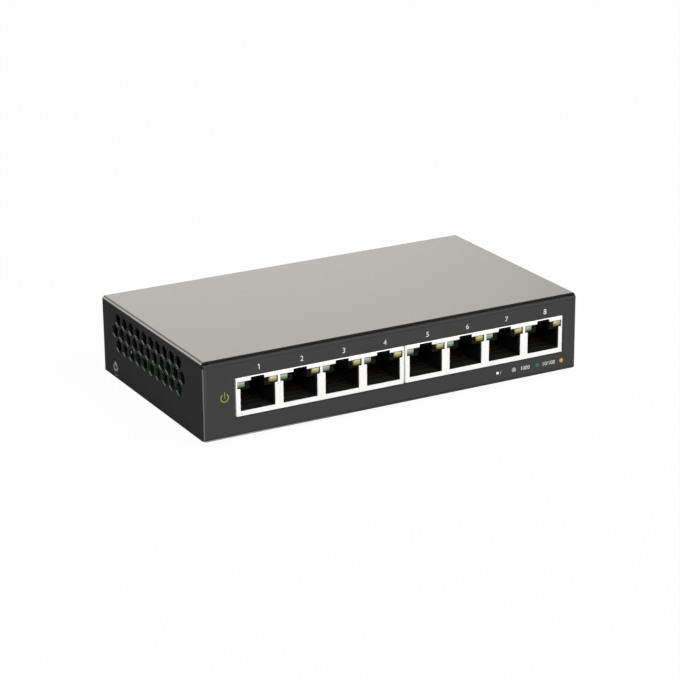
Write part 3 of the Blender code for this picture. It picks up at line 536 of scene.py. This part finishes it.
def pierceTray(shell):
    # jack window in front; inlet, reset and lock holes behind
    jackLow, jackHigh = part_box("jack_shield_left")[0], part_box("jack_shield_right")[1]
    play = tray["play"]
    openings = [block("window", (jackLow.x - play, front - steel, jackLow.z - play),
                      (jackHigh.x + play, front + 2 * steel, jackHigh.z + play))]
    inlet, reset = middleOf("power_inlet_pin"), middleOf("reset_plunger")
    openings.append(rod("inletHole", tray["inletSides"], tray["inletHole"], 4 * steel,
                        (inlet.x, rear, inlet.z), "y"))
    openings.append(rod("resetHole", tray["holeSides"], tray["resetHole"], 4 * steel,
                        (reset.x, rear, reset.z), "y"))
    wide, tall = tray["lockSize"]
    lock = block("lock", (tray["lockMiddle"] - wide / 2, rear - 2 * steel, inlet.z - tall / 2),
                 (tray["lockMiddle"] + wide / 2, rear + steel, inlet.z + tall / 2))
    foldEdges(lock, lambda p: abs(p.y - rear + steel / 2) < steel / 2,
              tray["lockCorner"], tray["lockSteps"])
    carve(shell, gather("openings", openings + [lock]))

    # keyholes in the floor
    y, neck = front + tray["keyholeSetback"], tray["keyholeNeck"]
    keyhole = block("keyhole", (-neck, y, caseFloor - 2 * steel),
                    (neck, y + tray["keyholeLength"] + neck, caseFloor + 2 * steel))
    foldEdges(keyhole, lambda p: p.y > y + tray["keyholeLength"] and abs(p.x) > neck / 2,
              neck * tray["neckFold"], tray["neckSteps"])
    head = rod("head", tray["keyholeSides"], tray["keyholeHead"], 4.2 * steel, (0, y, caseFloor), "z")
    carve(keyhole, head, operation="UNION")
    spread = Vector((tray["keyholeSpacing"] / 2, 0, 0))
    carve(shell, copyAt(keyhole, "keyholeLeft", -spread), copyAt(keyhole, "keyholeRight", spread))
    discard(keyhole)

    # cover screws' holes
    spot = middleOf("cover_screw_left")
    carve(shell, rod("screwHole", tray["holeSides"], tray["screwHole"], through,
                     (0, spot.y, spot.z), "x"))


def makeTray():
    half, top = coverHigh.x - steel - tray["slip"], trayHigh.z
    shell = foldTray(half, top)
    partFolds(shell, half, top)
    raiseStandoffs(shell)
    pierceTray(shell)
    soften(shell, tray["edge"])
    dress(shell, "satinPaint", "painted_steel", "chassis")


makeTray()
print("tray folded and pierced")


# jack shields: plated cans with a stepped window for each port

can = dict(sheet=0.0003, fold=0.0003, foldSteps=4, endGap=0.00015, portWidth=0.0128, sill=0.0016,
           lightSill=0.0094, lightHead=0.0119, lightReach=0.00745, latchWidth=0.0050, latchHead=0.0130,
           edge=0.00006)


def makeCans():
    low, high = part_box("jack_shield_left")
    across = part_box("jack_shield_right")[0] - low
    end = Vector((can["endGap"], 0, 0))
    low, high = low + end, high - end
    sheet = can["sheet"]
    shell = block("jackCanLeft", low, high)
    foldEdges(shell, lambda p: p.y < low.y + hundredth and p.z > low.z + hundredth,
              can["fold"], can["foldSteps"])
    carve(shell, block("hollow", low + Vector((sheet, sheet, -sheet)),
                       high - Vector((sheet, sheet, sheet))))
    steps = ((can["portWidth"] / 2, can["sill"], can["lightSill"] + hundredth),
             (can["lightReach"], can["lightSill"], can["lightHead"]),
             (can["latchWidth"] / 2, can["lightSill"], can["latchHead"]))
    for reach, bottom, top in steps:
        windows = [block("window", (x - reach, low.y - sheet, low.z + bottom),
                         (x + reach, low.y + 2 * sheet, low.z + top)) for x in portMiddles[:4]]
        carve(shell, gather("windows", windows))
    soften(shell, can["edge"])
    twin = copyAt(shell, "jackCanRight", across)
    dress(shell, "tinPlate", "plated_steel", "jack_shield_left")
    dress(twin, "tinPlate", "plated_steel", "jack_shield_right")


makeCans()


# indicator lenses: small blocks with a rounded face

def makeLenses(colour):
    start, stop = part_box(f"{colour}_light_1")
    low, high = start - Vector(lens["grow"]), stop + Vector(lens["grow"])
    outward = {"green": low, "amber": high}[colour]
    outward.x += math.copysign(lens["outward"], outward.x - portMiddles[0])
    first = block(f"{colour}Lens1", low, high)
    foldEdges(first, lambda p: p.y < low.y + hundredth, lens["edge"], lens["edgeSteps"])
    soften(first, lens["softEdge"])
    for n in range(2, 9):
        placed = copyAt(first, f"{colour}Lens{n}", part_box(f"{colour}_light_{n}")[0] - start)
        dress(placed, f"{colour}Lens", f"{colour}_lens", f"{colour}_light_{n}")
    dress(first, f"{colour}Lens", f"{colour}_lens", f"{colour}_light_1")


makeLenses("green")
makeLenses("amber")
print("jack shields cut, lenses set")


# cover screws: countersunk, flush with the paint, with a cross recess

screw = dict(head=0.00265, headSides=48, shank=0.00125, sides=24, armWidth=0.0005, armLength=0.0030,
             armTaper=0.75, depth=0.0006, eye=0.0007, edge=0.00006)


def makeScrews():
    # modelled at the origin with its face along X, then set in each side
    depth = screw["depth"]
    head = taper("screwHead", screw["headSides"], screw["head"] - steel, screw["head"], steel)
    low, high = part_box("cover_screw_right")
    length = high.x - low.x - steel / 2
    shank = rod("shank", screw["sides"], screw["shank"], length, (-steel / 2 - length / 2, 0, 0), "x")
    carve(head, shank, operation="UNION")
    wide, slim = screw["armLength"] / 2, screw["armWidth"] / 2
    for halfY, halfZ in ((wide, slim), (slim, wide)):
        arm = block("arm", (-depth, -halfY, -halfZ), (depth, halfY, halfZ))
        pick(arm, "FACE", lambda p: p.x < hundredth - depth)
        slimmer = (1, screw["armTaper"], screw["armTaper"])
        bpy.ops.transform.resize(value=slimmer, center_override=(0, 0, 0))
        letGo()
        carve(head, arm)
    carve(head, rod("eye", screw["sides"], screw["eye"], 2 * depth, (0, 0, 0), "x"))
    soften(head, screw["edge"])
    for label, turn in (("left", math.pi), ("right", 0)):
        low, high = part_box(f"cover_screw_{label}")
        seat = ((low if turn else high).x, (low.y + high.y) / 2, (low.z + high.z) / 2)
        placed = copyAt(head, f"coverScrew{label.title()}", seat, (0, 0, turn))
        dress(placed, "zincScrew", "screw_steel", f"cover_screw_{label}")
    discard(head)


makeScrews()
print("cover screws turned")


# rubber feet: soft-edged discs with a shallow ring underneath

foot = dict(sides=56, edge=0.0005, edgeSteps=5, edgeOver=math.radians(60), softEdge=0.00005,
            ringInset=0.0011, ringWidth=0.0007, ringDepth=0.00025)


def makeFeet():
    low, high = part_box("foot_front_left")
    middle = (low + high) / 2
    radius = (high.x - low.x) / 2
    pad = rod("footFrontLeft", foot["sides"], radius, high.z - low.z, middle, "z")
    pick(pad, "FACE", lambda p: p.z < low.z + hundredth)
    for step in (foot["ringInset"], foot["ringWidth"], foot["ringWidth"]):
        bpy.ops.mesh.inset(thickness=step)
    letGo()
    inner = radius - foot["ringInset"] - foot["ringWidth"]
    pick(pad, "VERT", lambda p: p.z < low.z + hundredth
         and abs((p - middle).to_2d().length - inner) < foot["ringWidth"] / 4)
    bpy.ops.transform.translate(value=(0, 0, foot["ringDepth"]))
    letGo()
    settleWith(pad, "BEVEL", width=foot["edge"], segments=foot["edgeSteps"], limit_method="ANGLE",
               angle_limit=foot["edgeOver"])
    soften(pad, foot["softEdge"])
    for label, name in (("front_right", "footFrontRight"), ("rear_left", "footRearLeft"),
                        ("rear_right", "footRearRight")):
        placed = copyAt(pad, name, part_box(f"foot_{label}")[0] - low)
        dress(placed, "footRubber", "rubber", f"foot_{label}")
    dress(pad, "footRubber", "rubber", "foot_front_left")


makeFeet()
print("feet moulded")


# printed marks on the front panel

marks = dict(film=0.00002, thin=0.00003, capShare=0.72, digitHeight=0.0019, digitLift=0.0220,
             digitShift=0.00085, flagSize=(0.0006, 0.00026), flagAlong=0.42, flagUp=0.87, flagTurn=-38,
             legendHeight=0.0014, legendLift=0.0030)
ink = front - marks["film"]


def printText(words, height, x, z, anchor="LEFT"):
    letGo()
    bpy.ops.object.text_add()
    label = bpy.context.object
    label.data.body = words
    label.data.align_x = anchor
    label.data.size = height / marks["capShare"]  # the capitals take this share of the face's size
    label.data.extrude = marks["film"]
    label.data.offset = -marks["thin"]
    bpy.ops.object.convert(target="MESH")
    label = bpy.context.object
    label.rotation_euler = (math.pi / 2, 0, 0)
    label.location = (x, ink, z)
    return fixPlace("print")


def printDisc(radius, x, z, sides=24):
    return rod("print", sides, radius, 2 * marks["film"], (x, ink, z), "y")


def printBar(length, width, x, z, angle):
    letGo()
    bpy.ops.mesh.primitive_cube_add(size=1, location=(x, ink, z), rotation=(0, angle, 0))
    bpy.context.object.scale = (length, 2 * marks["film"], width)
    return fixPlace("print")


def printDigit(n, x):
    z = caseFloor + marks["digitLift"]
    digit = printText(str(n), marks["digitHeight"], x, z, "CENTER")
    if n > 1:
        return digit
    # a flag on the plain stroke of the 1
    length, width = marks["flagSize"]
    left, up = x - length * marks["flagAlong"], z + marks["digitHeight"] * marks["flagUp"]
    flag = printBar(length, width, left, up, math.radians(marks["flagTurn"]))
    return gather("print", [digit, flag])


digits = [printDigit(n + 1, x + marks["digitShift"]) for n, x in enumerate(portMiddles)]
dress(gather("portNumbers", digits), "whiteInk", "painted_steel")

powerSign = dict(x=-0.0648, lift=0.0143, radius=0.00137, line=0.00026, gap=30, steps=72, barLift=0.0010,
                 barLength=0.0021)


def makePowerSign():
    x, z = powerSign["x"], caseFloor + powerSign["lift"]
    line = powerSign["line"]
    letGo()
    bpy.ops.mesh.primitive_torus_add(major_segments=powerSign["steps"], minor_segments=4,
                                     major_radius=powerSign["radius"], minor_radius=line / math.sqrt(2),
                                     location=(x, ink, z), rotation=(math.pi / 2, 0, 0))
    ring = fixPlace("powerSign")
    gap = math.radians(powerSign["gap"])
    pick(ring, "VERT", lambda p: abs(math.atan2(p.x - x, p.z - z)) < gap)
    bpy.ops.mesh.delete(type="VERT")
    bpy.ops.mesh.select_mode(type="EDGE")
    bpy.ops.mesh.select_non_manifold()
    bpy.ops.mesh.edge_face_add()
    letGo()
    # pressed flat to the film of ink
    pick(ring, "VERT", lambda p: True)
    bpy.ops.transform.resize(value=(1, 2 * marks["film"] / line, 1), center_override=(x, ink, z))
    letGo()
    bar = printBar(line, powerSign["barLength"], x, z + powerSign["barLift"], 0)
    dress(gather("powerSign", [ring, bar]), "limeInk", "painted_steel")


makePowerSign()

legend = dict(dot=0.0400, slash=0.0410, star=0.0467, fast=0.0493, fastDisc=0.0563, slow=0.0583,
              slowDisc=0.0663, dotRadius=0.0005, starRadius=0.00035, rays=4, ray=(0.0017, 0.00016),
              disc=0.00072, discSides=32, dishInset=0.3, dish=0.00001)


def printLamp(name, x, z, finishName):
    # a round mark with a shallow dish in it
    lamp = printDisc(legend["disc"], x, z, legend["discSides"])
    pick(lamp, "FACE", lambda p: p.y < ink - marks["film"] / 2)
    bpy.ops.mesh.inset(thickness=legend["disc"] * legend["dishInset"])
    bpy.ops.transform.translate(value=(0, legend["dish"], 0))
    letGo()
    lamp.name = name
    dress(lamp, finishName, "painted_steel")


def makeLegend():
    z = caseFloor + marks["legendLift"]
    mid = z + marks["legendHeight"] / 2
    white = [printDisc(legend["dotRadius"], legend["dot"], mid),
             printText("/", marks["legendHeight"], legend["slash"], z),
             printDisc(legend["starRadius"], legend["star"], mid)]
    for n in range(legend["rays"]):
        white.append(printBar(*legend["ray"], legend["star"], mid, n * math.pi / legend["rays"]))
    white.append(printText("1000", marks["legendHeight"], legend["fast"], z))
    white.append(printText("10/100", marks["legendHeight"], legend["slow"], z))
    dress(gather("legendPrint", white), "whiteInk", "painted_steel")
    printLamp("fastMark", legend["fastDisc"], mid, "greenInk")
    printLamp("slowMark", legend["slowDisc"], mid, "amberInk")


makeLegend()
print("front panel printed")


# solids whose shape is right keep it and get a better finish

keptFinishes = {
    "jack_housing": "mouldedBlack", "port_contacts": "contactGold", "circuit_board": "boardGreen",
    "switch_chip": "chipEpoxy", "flash_memory": "chipEpoxy", "transformer": "chipEpoxy",
    "heatsink": "extrudedAluminium", "crystal": "extrudedAluminium", "power_inductor": "ferriteGrey",
    "capacitor": "sleeveBlue", "board_screw": "zincScrew", "power_inlet_pin": "tinPlate",
    "power_inlet": "mouldedBlack", "reset_switch": "mouldedBlack", "reset_plunger": "mouldedBlack",
}
for name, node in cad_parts.items():
    for start, finishName in keptFinishes.items():
        if name.startswith(start):
            for holder in node.material_slots:
                holder.material = finishes[finishName]
            break
print("kept solids refinished")


# studio: pale floor, white surround, soft lamps

studio = dict(
    surround=0.06, floorSize=8, floorDark=(0.50, 0.50, 0.50), floorLight=(0.54, 0.54, 0.54),
    floorDrift=0.5, floorRoughness=0.9, floorSeen=0.97, floorShown=(0.06, 0.06, 0.06),
    lamps={
        "backSoftbox": dict(spot=(0.345, 0.93, 0.4375), size=(0.8, 0.6), shape="ELLIPSE", watts=2.55,
                            colour=(1, 0.94, 0.85)),
        "frontSoftbox": dict(spot=(0.48, -1.12, 1.46), size=(1.2, 0.9), watts=50.0, colour=(1, 1, 1)),
        "leftSoftbox": dict(spot=(-0.8, -0.95, 1.0), size=(0.5, 0.5), watts=7.0, colour=(1, 1, 1)),
        "rearStrip": dict(spot=(-0.36, 0.91, 0.50), size=(0.4, 0.3), watts=0.5, colour=(1, 0.97, 0.93)),
    },
)


def lookingRays(tree):
    # what the camera sees, and what shows in metal and glass
    rays = tree.nodes.new("ShaderNodeLightPath").outputs
    kinds = ("Is Camera Ray", "Is Glossy Ray", "Is Transmission Ray")
    seen, shining, clear = [Wire(tree, rays[kind]) for kind in kinds]
    return seen, shining.larger(clear)


def makeFloor():
    letGo()
    bpy.ops.mesh.primitive_plane_add(size=studio["floorSize"], location=(0, 0, -hundredth))
    floor = bpy.context.object
    floor.name = "studioFloor"
    material, shader, place = startFinish("paleFloor", Roughness=studio["floorRoughness"])
    drift = place.grain(studio["floorDrift"])
    feed(shader, Base_Color=drift.blendColours(studio["floorDark"], studio["floorLight"]))
    tree = material.node_tree
    seen, shown = lookingRays(tree)
    # plain white to the eye, and one steady tone in what shines
    glow = seen.node("Emission", {}, {"Color": seen.blendColours(studio["floorShown"], (1, 1, 1))})
    share = shown.larger(seen * studio["floorSeen"])
    mixed = seen.node("MixShader", {}, {0: share, 1: Wire(tree, shader.outputs[0]), 2: glow})
    tree.links.new(mixed.socket, tree.nodes["Material Output"].inputs["Surface"])
    floor.data.materials.append(material)


def makeSurround():
    world = bpy.data.worlds.new("studioSurround")
    bpy.context.scene.world = world
    world.use_nodes = True
    tree = world.node_tree
    seen, shown = lookingRays(tree)
    sky = tree.nodes["Background"]
    sky.inputs["Color"].default_value = (1, 1, 1, 1)
    strength = studio["surround"] + (1 - studio["surround"]) * seen.larger(shown)
    tree.links.new(strength.socket, sky.inputs["Strength"])


def makeLamps():
    for name, lamp in studio["lamps"].items():
        light = bpy.data.lights.new(name, "AREA")
        light.shape = lamp.get("shape", "RECTANGLE")
        light.size, light.size_y = lamp["size"]
        light.energy = lamp["watts"]
        light.color = lamp["colour"]
        holder = bpy.data.objects.new(name, light)
        bpy.context.scene.collection.objects.link(holder)
        holder.location = lamp["spot"]
        holder.rotation_euler = Vector(lamp["spot"]).to_track_quat("Z", "Y").to_euler()
        holder.visible_camera = False


makeFloor()
makeSurround()
makeLamps()
bpy.context.scene.view_settings.view_transform = "Standard"
print("studio lit")


# camera, solved from the case's edges in the photograph

view = dict(spot=(-0.385736, -0.711923, 0.297764), turn=(70.58397, 0.51421, -28.63432), lens=129.2439,
            sensor=36, nearest=0.01)
eye = bpy.data.cameras.new("photoCamera")
eye.lens = view["lens"]
eye.sensor_width = view["sensor"]
eye.clip_start = view["nearest"]
holder = bpy.data.objects.new("photoCamera", eye)
holder.location = view["spot"]
holder.rotation_euler = [math.radians(angle) for angle in view["turn"]]
bpy.context.scene.collection.objects.link(holder)
bpy.context.scene.camera = holder
print("camera placed")
